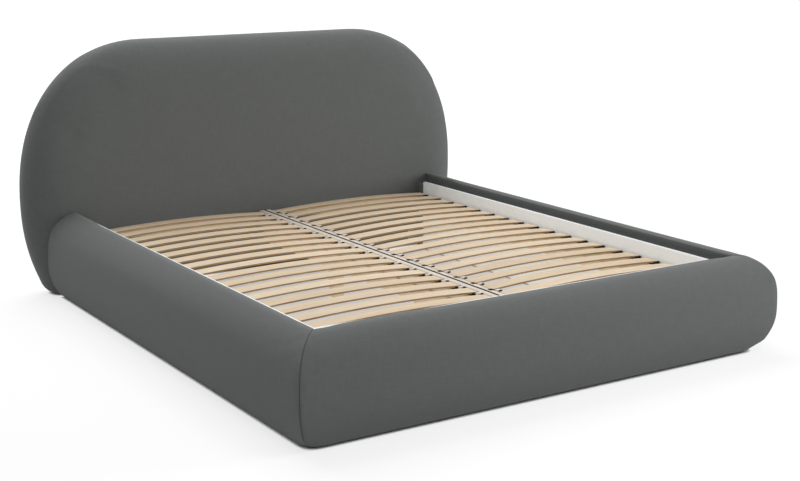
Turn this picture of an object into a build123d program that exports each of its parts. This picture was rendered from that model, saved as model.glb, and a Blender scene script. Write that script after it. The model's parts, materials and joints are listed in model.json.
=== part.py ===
from build123d import *
import math
import os

# Upholstered double bed with a pillow headboard, convex side rails and footboard mitred at the front
# corners, white inner boards, and two loose slatted frames on cleats and a centre beam.
# Millimetres. +Z up, +Y towards the headboard, the origin on the floor under the middle of the bed.

# Driving sizes of the bed
mattress_width = 1800
mattress_length = 2100
side_play = 7.5
end_play = 8
glide_height = 6
slat_plane_height = 303
board_top_height = 362

# Rails and footboard: the padded section, its thickness measured from the inner face of the white board
rail_thickness = 185.5
foot_extra_thickness = 44
crown_rise = 33
lip_rise = 4
lip_gap = 6
toe_inset = 57
# where the arcs of the section meet: shares of the thickness in from the widest place, and of the height
haunch_shares = (0.027, 0.321)
bulge_shares = (0, 0.437)
shoulder_shares = (0.043, 0.734)
brow_shares = (0.407, 0.98)
crest_shares = (0.58, 1)
rail_end_depth = 60
board_thickness = 16
core_thickness = 45
core_drop = 32

# Headboard: a pillow whose outline is widest at its waist and narrows towards the floor
headboard_overhang = 81
headboard_height = 1164
base_narrowing = 104
headboard_depth = 203
rim_depth = 125
shoulder_run = 230
shoulder_power = 2.2
corner_run = 625
corner_rise = 719
corner_power = 2.21
base_corner_radius = 40
bottom_inset_share = 0.25
base_squash = 2
# where the arcs of the upper corner meet, as shares of its quarter turn
corner_turn_shares = [0.36, 0.7]
front_steps = 8
back_steps = 2
back_turn = math.radians(60)
panel_front_depth = 60
panel_thickness = 18
panel_inset = 120
stud_width = 60
stud_shares = [-1, -0.5, 0, 0.5, 1]
stud_top_inset = 60
sill_height = 90
pocket_clearance = 1
back_cloth_thickness = 2
back_cloth_inset = 55

# Slatted frames
slat_count = 18
end_slat_inset = 24.75
slat_width = 70
slat_thickness = 8
slat_bow = 15
slat_flats = 8
frame_end_play = 8
frame_side_play = 2.5
frame_gap = 4
member_height = 55
outer_member_width = 30
inner_member_width = 28
inner_member_rise = 1
end_bar_thickness = 20
end_bar_height = 45
end_bar_drop = 3
holder_base = 7
holder_cheek = 4
holder_cheek_drop = 2
holder_stop = 2
holder_reach = 30
slat_end_play = 1
slat_side_play = 0.3
rest_gap = 0.3

# Carriers
cleat_width = 30
cleat_height = 40
beam_width = 70
beam_height = 70
leg_width = 50
leg_shares = [-1 / 6, 1 / 6]
leg_foot_radius = 20
leg_foot_sides = 6
leg_foot_height = 8
leg_foot_travel = 12
leg_foot_room = 2
stem_radius = 5
stem_length = 40
stem_clearance = 0.05

# Steel parts
steel = 4
bracket_leg = 60
bracket_height = 80
bracket_floor_gap = 40
bolt_radius = 4
bolt_head_radius = 8
bolt_head_sides = 6
bolt_head_height = 5
bolt_clearance = 0.3
bolt_grip = 14
hanger_steel = 3
hanger_flange = 40
hanger_seat_depth = 60
hanger_screw_drop = 25
glide_width = 36
glide_inset = 150
cut_overrun = 5
fit_gap = 0.3

# Derived places
recess_half_width = mattress_width / 2 + side_play
recess_length = mattress_length + 2 * end_play
rail_height = board_top_height + crown_rise
lip_height = board_top_height + lip_rise
core_height = board_top_height - core_drop
foot_thickness = rail_thickness + foot_extra_thickness
total_length = headboard_depth + recess_length + foot_thickness
front_y = -total_length / 2
back_y = total_length / 2
face_y = back_y - headboard_depth
foot_face_y = face_y - recess_length
rail_side_x = recess_half_width + rail_thickness
headboard_half_width = rail_side_x + headboard_overhang
slat_pitch = (mattress_length - 2 * end_slat_inset - slat_width) / (slat_count - 1)
mitre_y = front_y + rail_thickness
member_top = slat_plane_height - slat_thickness - holder_base
member_bottom = member_top - member_height
carrier_top = member_bottom - rest_gap


def block(x_low, x_high, y_low, y_high, z_low, z_high):
    """A box between two corners."""
    size = (x_high - x_low, y_high - y_low, z_high - z_low)
    centre = ((x_low + x_high) / 2, (y_low + y_high) / 2, (z_low + z_high) / 2)
    return Pos(*centre) * Box(*size)


def rail_section(extra):
    """Padded section of a rail: u outwards from the board's inner face, v up; extra widens the crown."""
    widest = rail_thickness + extra

    def place(shares):
        return widest - rail_thickness * shares[0], rail_height * shares[1]

    toe = (widest - toe_inset, glide_height)
    lip = (board_thickness + lip_gap, lip_height)
    bulge = place(bulge_shares)
    shoulder_arc = TangentArc(bulge, place(shoulder_shares), tangent=(0, 1))
    brow_arc = TangentArc(shoulder_arc @ 1, place(brow_shares), tangent=shoulder_arc % 1)
    crest_arc = TangentArc(brow_arc @ 1, place(crest_shares), tangent=brow_arc % 1)
    lip_arc = TangentArc(crest_arc @ 1, lip, tangent=crest_arc % 1)
    haunch_arc = TangentArc(bulge, place(haunch_shares), tangent=(0, -1))
    toe_arc = TangentArc(haunch_arc @ 1, toe, tangent=haunch_arc % 1)
    pocket_u = board_thickness + core_thickness
    inside = Polyline(
        lip,
        (board_thickness, lip_height - lip_gap),
        (board_thickness, core_height),
        (pocket_u, core_height),
        (pocket_u, glide_height),
        toe,
    )
    pieces = [shoulder_arc, brow_arc, crest_arc, lip_arc, inside, toe_arc, haunch_arc]
    return make_face([edge for piece in pieces for edge in piece.edges()])


def rail_plane(origin, outward):
    """Sketch plane of a rail's section: x outwards from the recess, y up."""
    return Plane(origin=origin, x_dir=outward, z_dir=outward.cross(Vector(0, 0, 1)))


def mitre_cutter(side):
    """Wedge outside the recess and ahead of the mitre at one front corner; side is -1 or 1."""
    reach = 2 * rail_thickness
    inner = side * recess_half_width
    corners = [
        (inner, mitre_y),
        (side * (recess_half_width + reach), mitre_y - reach),
        (inner, mitre_y - reach),
    ]
    wedge = make_face(Polyline(*corners, close=True).edges())
    return extrude(wedge, amount=rail_height + cut_overrun)


def corner_point(share, inset):
    """A point of the headboard's upper corner at a share of its quarter turn, drawn in by inset."""
    angle = math.pi / 2 * share
    run = corner_run - inset
    rise = corner_rise - inset
    x = headboard_half_width - inset - run + run * math.cos(angle) ** (2 / corner_power)
    z = headboard_height - inset - rise + rise * math.sin(angle) ** (2 / corner_power)
    return x, z


def headboard_layer(inset, y):
    """Face of one layer of the headboard at a given y, its outline drawn in by inset."""
    bottom = glide_height - base_squash + bottom_inset_share * inset
    base = (headboard_half_width - base_narrowing - inset, bottom + base_corner_radius)
    waist = corner_point(0, inset)
    low, high = [corner_point(share, inset) for share in corner_turn_shares]
    top = (headboard_half_width - corner_run, headboard_height - inset)
    flank = TangentArc(waist, base, tangent=(0, -1))
    foot = TangentArc(base, (base[0] - base_corner_radius, bottom), tangent=flank % 1)
    lower = TangentArc(waist, low, tangent=(0, 1))
    upper = TangentArc(top, high, tangent=(1, 0))
    middle = TangentArc(low, high, tangent=lower % 1)
    right = [foot, flank, lower, middle, upper]
    left = [mirror(arc, Plane.YZ) for arc in right]
    sill = Line(left[0] @ 1, foot @ 1)
    ridge = Line(top, (-top[0], top[1]))
    plane = Plane(origin=(0, y, 0), x_dir=(1, 0, 0), z_dir=(0, -1, 0))
    edges = [edge for item in [sill, ridge] + right + left for edge in item.edges()]
    return plane * make_face(edges)


def pillow_layers():
    """Inset and depth of every layer of the pillow, from the front face to the back."""
    layers = []
    for step in range(front_steps + 1):
        angle = math.pi / 2 * step / front_steps
        inset = shoulder_run * (1 - math.sin(angle) ** (2 / shoulder_power))
        depth = rim_depth * (1 - math.cos(angle) ** (2 / shoulder_power))
        layers.append((inset, depth))
    back_radius = (headboard_depth - rim_depth) / math.sin(back_turn)
    for step in range(1, back_steps + 1):
        angle = back_turn * step / back_steps
        layers.append((back_radius * (1 - math.cos(angle)), rim_depth + back_radius * math.sin(angle)))
    return layers


def headboard_pillow(grow=0):
    """The pillow solid, flat underneath; grow thickens it a little, to cut what meets it."""
    faces = []
    for inset, depth in pillow_layers():
        forward = grow * (1 - depth / headboard_depth)
        faces.append(headboard_layer(inset - grow, face_y + depth - forward))
    reach = 2 * headboard_half_width
    under = block(-reach, reach, front_y, 2 * back_y, -reach, glide_height)
    return loft(faces, ruled=True) - under


def outline_top(x, inset):
    """Height of the headboard's outline at x, drawn in by inset."""
    run = corner_run - inset
    flat = headboard_half_width - inset - run
    top = headboard_height - inset
    if abs(x) <= flat:
        return top
    cosine = ((abs(x) - flat) / run) ** (corner_power / 2)
    return top - (corner_rise - inset) * (1 - (1 - cosine**2) ** (1 / corner_power))


def shank(point, direction, length, radius):
    """A cylinder from a point along a direction."""
    return Plane(origin=point, z_dir=direction) * Cylinder(
        radius, length, align=(Align.CENTER, Align.CENTER, Align.MIN)
    )


def bolt(point, direction, length):
    """A bolt whose hexagonal head lies on point and whose shank runs along direction."""
    outwards = Plane(origin=point, z_dir=[-part for part in direction])
    head = extrude(outwards * RegularPolygon(bolt_head_radius, bolt_head_sides), amount=bolt_head_height)
    return head + shank(point, direction, length, bolt_radius)


def bolt_places():
    """Head seat, direction and length of every bolt."""
    places = []
    middle = bracket_floor_gap + bracket_height / 2
    reach = steel + bracket_leg / 2
    wall = steel + board_thickness + bolt_grip
    to_panel = panel_front_depth + panel_thickness
    for side in (-1, 1):
        board_x = side * (recess_half_width - steel)
        plate_x = side * (recess_half_width - reach)
        places.append(((board_x, face_y - reach, middle), (side, 0, 0), wall))
        places.append(((board_x, foot_face_y + reach, middle), (side, 0, 0), wall))
        places.append(((plate_x, face_y - steel, middle), (0, 1, 0), steel + to_panel))
        places.append(((plate_x, foot_face_y + steel, middle), (0, -1, 0), wall))
        flange_x = side * (beam_width / 2 + hanger_steel + hanger_flange / 2)
        height = carrier_top - hanger_screw_drop
        grip = hanger_steel + board_thickness + bolt_grip
        places.append(((flange_x, face_y - hanger_steel, height), (0, 1, 0), hanger_steel + to_panel))
        places.append(((flange_x, foot_face_y + hanger_steel, height), (0, -1, 0), grip))
    return places


bolts_at = bolt_places()
bolt_holes = [shank(point, way, length, bolt_radius + bolt_clearance) for point, way, length in bolts_at]


def drilled(solid):
    """A piece with the holes of the bolts that pass through it."""
    box = solid.bounding_box()
    for hole in bolt_holes:
        if box.overlaps(hole.bounding_box()):
            solid = solid - hole
    return solid


def headboard_panel():
    """The wooden panel behind the front padding."""
    front = headboard_layer(panel_inset, face_y + panel_front_depth)
    return drilled(extrude(front, amount=-panel_thickness))


def headboard_studs():
    """A bottom sill and the studs that stand on it behind the panel."""
    front = face_y + panel_front_depth + panel_thickness
    rear = back_y - back_cloth_thickness
    low = glide_height - base_squash + bottom_inset_share * panel_inset
    half = headboard_half_width - base_narrowing - panel_inset - base_corner_radius
    pieces = [block(-half, half, front, rear, low, low + sill_height)]
    for share in stud_shares:
        x = share * (half - stud_width / 2)
        top = outline_top(abs(x) + stud_width / 2, panel_inset + stud_top_inset)
        pieces.append(block(x - stud_width / 2, x + stud_width / 2, front, rear, low + sill_height, top))
    return pieces


def headboard_cushion(pillow):
    """The padded cover: the pillow, hollow behind the panel and rebated for the back cloth."""
    pocket_face = headboard_layer(panel_inset - pocket_clearance, face_y + panel_front_depth)
    pocket = extrude(pocket_face, amount=-(headboard_depth - panel_front_depth + cut_overrun))
    rebate_face = headboard_layer(back_cloth_inset - fit_gap, back_y - back_cloth_thickness)
    rebate = extrude(rebate_face, amount=-(back_cloth_thickness + cut_overrun))
    return drilled(pillow - pocket - rebate)


def headboard_back_cloth():
    """The cloth that closes the back."""
    sheet = headboard_layer(back_cloth_inset, back_y - back_cloth_thickness)
    return extrude(sheet, amount=-back_cloth_thickness)


def rail_cushion(side, pillow_cutter):
    """Side-rail padding: its section run from the mitre to the headboard."""
    start = Vector(side * recess_half_width, front_y, 0)
    plane = rail_plane(start, Vector(side, 0, 0))
    face = plane * rail_section(0)
    run = total_length - headboard_depth + rail_end_depth
    along = extrude(face, amount=run, dir=(0, 1, 0))
    return drilled(along - mitre_cutter(side) - pillow_cutter)


def footboard_cushion():
    """Footboard padding between the two mitres."""
    start = Vector(-rail_side_x, foot_face_y, 0)
    plane = rail_plane(start, Vector(0, -1, 0))
    face = plane * rail_section(foot_extra_thickness)
    along = extrude(face, amount=2 * rail_side_x, dir=(1, 0, 0))
    reach = 2 * rail_thickness
    for side in (-1, 1):
        inner = side * recess_half_width
        outer = side * (recess_half_width + reach)
        corners = [(inner, mitre_y), (outer, mitre_y - reach), (outer, mitre_y + reach), (inner, mitre_y + reach)]
        wedge = make_face(Polyline(*corners, close=True).edges())
        along = along - extrude(wedge, amount=rail_height + cut_overrun)
    return drilled(along)


def rail_board(side):
    """White inner board of a side rail."""
    inner = side * recess_half_width
    outer = side * (recess_half_width + board_thickness)
    ends = sorted((inner, outer))
    return drilled(block(*ends, mitre_y, face_y, glide_height, board_top_height))


def footboard_board():
    """White inner board of the footboard, between the side boards."""
    inner = foot_face_y - board_thickness
    return drilled(
        block(-recess_half_width, recess_half_width, inner, foot_face_y, glide_height, board_top_height)
    )


def rail_cores():
    """The timbers that the padding of the two side rails and the footboard is fixed to."""
    end = foot_face_y - board_thickness - core_thickness
    near = recess_half_width + board_thickness
    far = near + core_thickness
    left = block(-far, -near, end, face_y, glide_height, core_height)
    right = block(near, far, end, face_y, glide_height, core_height)
    foot_front = foot_face_y - board_thickness
    foot = block(-recess_half_width, recess_half_width, end, foot_front, glide_height, core_height)
    return [drilled(left), drilled(right), drilled(foot)]


def support_cleats():
    """Timbers on the side boards that the slatted frames rest on."""
    pieces = []
    for side in (-1, 1):
        ends = sorted((side * (recess_half_width - cleat_width), side * recess_half_width))
        low_y = foot_face_y + bracket_leg
        high_y = face_y - bracket_leg
        pieces.append(block(*ends, low_y, high_y, carrier_top - cleat_height, carrier_top))
    return pieces


def centre_beam():
    """The timber under the middle of the bed, held in a hanger at each end."""
    half = beam_width / 2
    low_y = foot_face_y + hanger_steel
    high_y = face_y - hanger_steel
    return block(-half, half, low_y, high_y, carrier_top - beam_height, carrier_top)


def beam_hanger(wall_y, way):
    """A bent steel seat for one end of the beam; way points into the recess."""
    half = beam_width / 2
    low = carrier_top - beam_height
    plate_y = sorted((wall_y, wall_y + way * hanger_steel))
    seat_y = sorted((wall_y, wall_y + way * hanger_seat_depth))
    outside = half + hanger_steel
    flange = outside + hanger_flange
    plate = block(-flange, flange, *plate_y, low - hanger_steel, carrier_top)
    cup = block(-outside, outside, *seat_y, low - hanger_steel, carrier_top)
    channel_y = sorted((wall_y + way * hanger_steel, wall_y + way * (hanger_seat_depth + cut_overrun)))
    channel = block(-half, half, *channel_y, low, carrier_top + cut_overrun)
    return drilled(plate + cup - channel)


def leg_y(share):
    """Place of a centre leg along the recess."""
    return (face_y + foot_face_y) / 2 + share * recess_length


leg_bottom = leg_foot_height + leg_foot_travel + leg_foot_room


def centre_legs():
    """Posts under the beam, bored for their screw feet."""
    pieces = []
    for share in leg_shares:
        half = leg_width / 2
        y = leg_y(share)
        post = block(-half, half, y - half, y + half, leg_bottom, carrier_top - beam_height)
        depth = leg_foot_height + stem_length + leg_foot_travel + leg_foot_room - leg_bottom
        bore = shank((0, y, leg_bottom), (0, 0, 1), depth, stem_radius + stem_clearance)
        pieces.append(post - bore)
    return pieces


def leg_foot(share):
    """Screw foot of a centre leg: a hexagonal pad on the floor and a stem in the leg's bore."""
    y = leg_y(share)
    pad = extrude(Pos(0, y, 0) * RegularPolygon(leg_foot_radius, leg_foot_sides), amount=leg_foot_height)
    return pad + shank((0, y, 0), (0, 0, 1), leg_foot_height + stem_length, stem_radius)


def corner_bracket(side, wall_y, way):
    """A steel angle in one inside corner of the bed; way points into the recess."""
    inner = side * recess_half_width
    low = bracket_floor_gap
    high = bracket_floor_gap + bracket_height
    on_board = block(
        *sorted((inner, inner - side * steel)), *sorted((wall_y, wall_y + way * bracket_leg)), low, high
    )
    on_wall = block(
        *sorted((inner, inner - side * bracket_leg)), *sorted((wall_y, wall_y + way * steel)), low, high
    )
    return drilled(on_board + on_wall)


def floor_glides():
    """Square pads under the cores and the headboard that the bed stands on."""
    half = glide_width / 2
    core_x = recess_half_width + board_thickness + core_thickness / 2
    core_y = foot_face_y - board_thickness - core_thickness / 2
    head_y = face_y + rim_depth
    places = []
    for side in (-1, 1):
        places.append((side * core_x, face_y - glide_inset))
        places.append((side * core_x, foot_face_y + glide_inset))
        places.append((side * (recess_half_width - glide_inset), core_y))
        places.append((side * (recess_half_width - glide_inset), head_y))
    return [block(x - half, x + half, y - half, y + half, 0, glide_height) for x, y in places]


frame_head_y = face_y - frame_end_play
frame_foot_y = frame_head_y - mattress_length
inner_low_x = frame_gap / 2
inner_high_x = inner_low_x + inner_member_width
outer_high_x = recess_half_width - frame_side_play
outer_low_x = outer_high_x - outer_member_width
slat_low_x = inner_high_x + holder_stop + slat_end_play
slat_high_x = outer_high_x - holder_stop - slat_end_play
slat_field = (slat_count - 1) * slat_pitch + slat_width
first_slat_y = frame_head_y - (mattress_length - slat_field) / 2 - slat_width / 2


def sided(side, x_low, x_high):
    """The x span of a piece on the left (-1) or the right (1) frame."""
    return sorted((side * x_low, side * x_high))


def frame_timbers(side):
    """Side members and end bars of one slatted frame."""
    inner_x = sided(side, inner_low_x, inner_high_x)
    outer_x = sided(side, outer_low_x, outer_high_x)
    bar_x = sided(side, inner_high_x, outer_low_x)
    inner_top = slat_plane_height + inner_member_rise
    bar_top = slat_plane_height - end_bar_drop
    bar_z = (bar_top - end_bar_height, bar_top)
    return [
        block(*inner_x, frame_foot_y, frame_head_y, member_bottom, inner_top),
        block(*outer_x, frame_foot_y, frame_head_y, member_bottom, member_top),
        block(*bar_x, frame_head_y - end_bar_thickness, frame_head_y, *bar_z),
        block(*bar_x, frame_foot_y, frame_foot_y + end_bar_thickness, *bar_z),
    ]


def slat(side):
    """One bowed slat, in the place of the first one."""
    top = slat_plane_height
    low = top - slat_thickness
    middle = (slat_low_x + slat_high_x) / 2
    bow = ThreePointArc((slat_low_x, top), (middle, top + slat_bow), (slat_high_x, top))
    upper = [bow @ (step / slat_flats) for step in range(slat_flats + 1)]
    lower = [point - Vector(0, top - low) for point in reversed(upper)]
    face = make_face(Polyline(*upper, *lower, close=True).edges())
    plane = Plane(origin=(0, first_slat_y + slat_width / 2, 0), x_dir=(1, 0, 0), z_dir=(0, -1, 0))
    piece = extrude(plane * face, amount=slat_width)
    return piece if side > 0 else mirror(piece, Plane.YZ)


def holder(side, seat_low, seat_high, stop_low, stop_high):
    """A saddle under one end of a slat, in the place of the first slat."""
    half = slat_width / 2 + slat_side_play + holder_cheek
    cheek_in = slat_width / 2 + slat_side_play
    base_top = slat_plane_height - slat_thickness
    cheek_top = slat_plane_height - holder_cheek_drop
    seat_x = sided(side, seat_low, seat_high)
    low_y = first_slat_y - half
    high_y = first_slat_y + half
    body = block(*seat_x, low_y, high_y, member_top, cheek_top)
    slot_x = sided(side, min(seat_low, seat_high), max(seat_low, seat_high))
    slot = block(*slot_x, first_slat_y - cheek_in, first_slat_y + cheek_in, base_top, cheek_top)
    stop = block(*sided(side, stop_low, stop_high), low_y, high_y, member_top, cheek_top)
    return body - slot + stop


def slat_holders(side):
    """The saddles at both ends of every slat of one frame."""
    outer = holder(side, outer_low_x, outer_high_x, outer_high_x - holder_stop, outer_high_x)
    inner = holder(side, inner_high_x, inner_high_x + holder_reach, inner_high_x, inner_high_x + holder_stop)
    pieces = []
    for index in range(slat_count):
        step = Pos(0, -index * slat_pitch, 0)
        pieces += [step * outer, step * inner]
    return pieces


def save(name, shape):
    """Write one node; a list of solids is written as a group."""
    if isinstance(shape, list):
        shape = Compound(children=[solid for item in shape for solid in item.solids()])
    export_step(shape, f"parts/{name}.step")


def build():
    """Make every node of the bed."""
    os.makedirs("parts", exist_ok=True)
    pillow = headboard_pillow()
    cutter = headboard_pillow(fit_gap)
    save("headboard_panel", headboard_panel())
    save("headboard_studs", headboard_studs())
    save("headboard_cushion", headboard_cushion(pillow))
    save("headboard_back_cloth", headboard_back_cloth())
    save("left_rail_cushion", rail_cushion(-1, cutter))
    save("right_rail_cushion", rail_cushion(1, cutter))
    save("footboard_cushion", footboard_cushion())
    save("left_rail_board", rail_board(-1))
    save("right_rail_board", rail_board(1))
    save("footboard_board", footboard_board())
    save("rail_cores", rail_cores())
    save("support_cleats", support_cleats())
    save("centre_beam", centre_beam())
    save("beam_hangers", [beam_hanger(face_y, -1), beam_hanger(foot_face_y, 1)])
    save("centre_legs", centre_legs())
    save("front_leg_foot", leg_foot(leg_shares[0]))
    save("rear_leg_foot", leg_foot(leg_shares[1]))
    brackets = [corner_bracket(side, y, way) for side in (-1, 1) for y, way in ((face_y, -1), (foot_face_y, 1))]
    save("corner_brackets", brackets)
    save("mounting_bolts", [bolt(*place) for place in bolts_at])
    save("floor_glides", floor_glides())
    for side, name in ((-1, "left"), (1, "right")):
        save(f"{name}_frame_timbers", frame_timbers(side))
        save(f"{name}_slat_holders", slat_holders(side))
        first = slat(side)
        for index in range(slat_count):
            save(f"{name}_slat_{index + 1:02d}", Pos(0, -index * slat_pitch, 0) * first)


build()
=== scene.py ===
import json
import math

import bmesh
import bpy
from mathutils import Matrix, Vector


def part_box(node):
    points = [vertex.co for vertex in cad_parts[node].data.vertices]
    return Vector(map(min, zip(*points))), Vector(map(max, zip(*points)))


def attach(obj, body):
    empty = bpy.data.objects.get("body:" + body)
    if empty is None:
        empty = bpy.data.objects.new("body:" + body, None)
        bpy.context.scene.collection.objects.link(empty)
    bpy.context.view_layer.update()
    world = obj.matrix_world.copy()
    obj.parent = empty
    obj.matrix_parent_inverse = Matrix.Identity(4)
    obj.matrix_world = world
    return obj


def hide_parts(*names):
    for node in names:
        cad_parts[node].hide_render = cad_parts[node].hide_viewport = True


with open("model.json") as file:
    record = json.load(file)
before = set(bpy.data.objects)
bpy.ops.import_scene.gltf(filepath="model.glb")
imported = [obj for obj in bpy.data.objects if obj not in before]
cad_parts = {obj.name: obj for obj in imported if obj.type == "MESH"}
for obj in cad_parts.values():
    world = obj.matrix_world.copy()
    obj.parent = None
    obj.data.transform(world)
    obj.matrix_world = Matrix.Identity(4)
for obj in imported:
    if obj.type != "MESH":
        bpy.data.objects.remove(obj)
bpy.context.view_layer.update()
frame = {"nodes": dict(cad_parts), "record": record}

bl_info = {
    "name": "Upholstered bed",
    "version": (1, 0, 0),
    "blender": (4, 5, 0),
    "location": "View3D > Sidebar > Bed",
    "description": "Models a padded double bed with a pillow headboard and two slatted frames",
    "category": "Object",
}

SIDES = {"left": -1, "right": 1}
SLAT_COUNT = 18

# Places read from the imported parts, in metres
RECESS_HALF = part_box("right_rail_board")[0].x
BOARD_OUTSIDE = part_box("right_rail_board")[1].x - RECESS_HALF
FACE_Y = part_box("headboard_cushion")[0].y
BACK_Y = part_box("headboard_cushion")[1].y
HEAD_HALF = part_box("headboard_cushion")[1].x
HEAD_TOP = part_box("headboard_cushion")[1].z
FLOOR_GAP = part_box("headboard_cushion")[0].z
FRONT_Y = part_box("footboard_cushion")[0].y
FOOT_FACE_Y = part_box("footboard_board")[1].y
RAIL_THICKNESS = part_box("footboard_cushion")[1].x - RECESS_HALF
FOOT_EXTRA = FOOT_FACE_Y - FRONT_Y - RAIL_THICKNESS
MITRE_Y = FRONT_Y + RAIL_THICKNESS
CORE_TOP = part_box("rail_cores")[1].z
CORE_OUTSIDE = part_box("rail_cores")[1].x - RECESS_HALF
PANEL_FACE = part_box("headboard_panel")[0].y

# The rails' padded section, each place as metres inwards from the widest place and metres up
FLANK = [
    (0.0595, 0.0), (0.0335, 0.043), (0.0165, 0.082), (0.0065, 0.116), (0.0015, 0.146), (0.0, 0.186),
    (0.0015, 0.248), (0.0045, 0.276), (0.0115, 0.308), (0.0275, 0.339), (0.0525, 0.368), (0.0865, 0.390),
]
# The same over the crown, as metres from the board's inner face: a side rail's, and the footboard's
SIDE_CROWN = [(0.080, 0.3950), (0.068, 0.3950), (0.058, 0.3935), (0.0525, 0.3907)]
FOOT_CROWN = [
    (0.124, 0.3945), (0.108, 0.3932), (0.090, 0.3887), (0.070, 0.3817), (0.050, 0.3746), (0.024, 0.3635),
]
# Below its crown a side rail's padding drops upright into a tuck behind the board
SIDE_WALL = [
    (0.0507, 0.3881), (0.0503, 0.3835), (0.0516, 0.3760), (0.0545, 0.3660), (0.0570, 0.3540),
    (0.0520, 0.3470), (0.0200, 0.3460),
]
CROWN_LOW = 0.2
LIP_Z = 0.3625
# Near the headboard the inner edge of a side rail's crown is fuller
SWELL_START = 0.78
SWELL_RUN = 0.06
SWELL_RISE = 0.0055
# The footboard's crown is fuller near its left end
CROWN_SWELL = 0.003
CROWN_SWELL_X = -0.64
CROWN_SWELL_WIDTH = 0.14
# Height up to which the foot end's two corners are rounded, seen from above
TOE_ROUND_TOP = 0.06
# The white of the side boards ends short of the headboard, and the cloth is wrapped round their last part
BOARD_SHORT = 0.057
# How far from a mitre the cloth is drawn in
MITRE_REACH = 0.008
# How far the cloth of a side rail and of the footboard swells at most
RAIL_FULLNESS = 0.0025
FOOT_FULLNESS = 0.0015
# How near its lower edge, its seams and its lip the cloth is held
HELD_REACH = 0.004
# How far a side rail's cloth is drawn in where it meets the headboard, and how far from there
HEAD_INSET = 0.003
HEAD_REACH = 0.012
# How far a side rail's cloth runs into the headboard's
HEAD_OVERLAP = 0.0015
# Distance from a mitre over which the footboard's section takes the side rail's form
DIP_REACH = 0.07

# The headboard's outline and edge
CORNER_RUN = 0.625
CORNER_RISE = 0.719
CORNER_POWER = 2.21
BASE_NARROWING = 0.104
WAIST_POWER = 2.26
BASE_RADIUS = 0.04
BASE_RISE_SHARE = 0.25
EDGE_RUN = 0.23
EDGE_DEPTH = 0.125
EDGE_POWER = 2.2
BACK_TURN = math.radians(60)
# Insets of the headboard's back: where it is flat, where the cloth turns under, and where it ends
BACK_RIM = 0.0535
TUCK_RIM = 0.0548
TUCK_END = 0.119


def deselect_all():
    """Leave edit mode and select nothing."""
    if bpy.context.object and bpy.context.object.mode != "OBJECT":
        bpy.ops.object.mode_set(mode="OBJECT")
    bpy.ops.object.select_all(action="DESELECT")


def activate(piece):
    """Make one piece the only selected and active one."""
    deselect_all()
    piece.select_set(True)
    bpy.context.view_layer.objects.active = piece


def edit(piece):
    """Enter edit mode on one piece with nothing selected, and give its edit mesh."""
    activate(piece)
    bpy.ops.object.mode_set(mode="EDIT")
    bpy.ops.mesh.select_all(action="DESELECT")
    return bmesh.from_edit_mesh(piece.data)


def leave_edit():
    """Back to object mode."""
    bpy.ops.object.mode_set(mode="OBJECT")


def finish_shape(piece, closed=True):
    """Merge doubles, close the holes of a piece that is to be closed, and turn all faces outwards."""
    edit(piece)
    bpy.ops.mesh.select_all(action="SELECT")
    bpy.ops.mesh.remove_doubles(threshold=0.00005)
    if closed:
        bpy.ops.mesh.fill_holes(sides=0)
        bpy.ops.mesh.select_all(action="SELECT")
    bpy.ops.mesh.normals_make_consistent(inside=False)
    leave_edit()


def stand_for(piece, body, node):
    """A piece rides on a body and stands for a node, which is hidden."""
    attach(piece, body)
    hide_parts(node)


def sizes():
    """The sizes that a user may change."""
    return bpy.context.scene.bed_sizes


def settle(piece):
    """Put the piece's place into its mesh, so that its object sits at the origin."""
    activate(piece)
    bpy.ops.object.transform_apply(location=True, rotation=True, scale=True)


def smooth(piece, degrees=40):
    """Smooth shading with edges sharper than the angle kept."""
    activate(piece)
    bpy.ops.object.shade_smooth_by_angle(angle=math.radians(degrees))


def apply_modifiers(piece):
    """Apply every modifier of a piece in order."""
    activate(piece)
    for name in [modifier.name for modifier in piece.modifiers]:
        bpy.ops.object.modifier_apply(modifier=name)


# Steps between two places of a section, steps of its whole line, and how often the line is smoothed
CURVE_STEPS = 12
LINE_STEPS = 150
SMOOTHINGS = 10


def flowing(points):
    """A smooth line through the points."""
    ends = [points[0] * 2 - points[1], *points, points[-1] * 2 - points[-2]]
    line = []
    for before, start, end, after in zip(ends, ends[1:], ends[2:], ends[3:]):
        for step in range(CURVE_STEPS):
            t = step / CURVE_STEPS
            line.append(
                (
                    start * 2
                    + (end - before) * t
                    + (before * 2 - start * 5 + end * 4 - after) * t**2
                    + (start * 3 - before - end * 3 + after) * t**3
                )
                / 2
            )
    line.append(points[-1])
    line = spaced(line, LINE_STEPS)
    for _ in range(SMOOTHINGS):
        middle = [(a + b * 2 + c) / 4 for a, b, c in zip(line, line[1:], line[2:])]
        line = [line[0], *middle, line[-1]]
    return line


def running_length(points):
    """Length along a line at each of its points."""
    lengths = [0.0]
    for before, after in zip(points, points[1:]):
        lengths.append(lengths[-1] + (after - before).length)
    return lengths


def spaced(points, count):
    """The line through the points, divided into count equal steps."""
    lengths = running_length(points)
    made = []
    at = 0
    for step in range(count + 1):
        target = lengths[-1] * step / count
        while at < len(points) - 2 and lengths[at + 1] < target:
            at += 1
        span = lengths[at + 1] - lengths[at]
        share = (target - lengths[at]) / span if span else 0
        made.append(points[at].lerp(points[at + 1], min(max(share, 0), 1)))
    return made


def shaped_grid(name, rows, cloth_places):
    """A grid primitive moved onto rows of points, with each point's place on the flat cloth."""
    deselect_all()
    bpy.ops.mesh.primitive_grid_add(x_subdivisions=len(rows[0]) - 1, y_subdivisions=len(rows) - 1, size=1)
    piece = bpy.context.object
    piece.name = name
    piece.data.name = name
    points = [point for row in rows for point in row]
    places = [place for row in cloth_places for place in row]
    if len(points) != len(piece.data.vertices):
        raise RuntimeError(f"{name}: the grid doesn't match its rows")
    for vertex, point in zip(piece.data.vertices, points):
        vertex.co = point
    layer = piece.data.uv_layers[0]
    for loop in piece.data.loops:
        layer.data[loop.index].uv = places[loop.vertex_index]
    return piece


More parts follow.
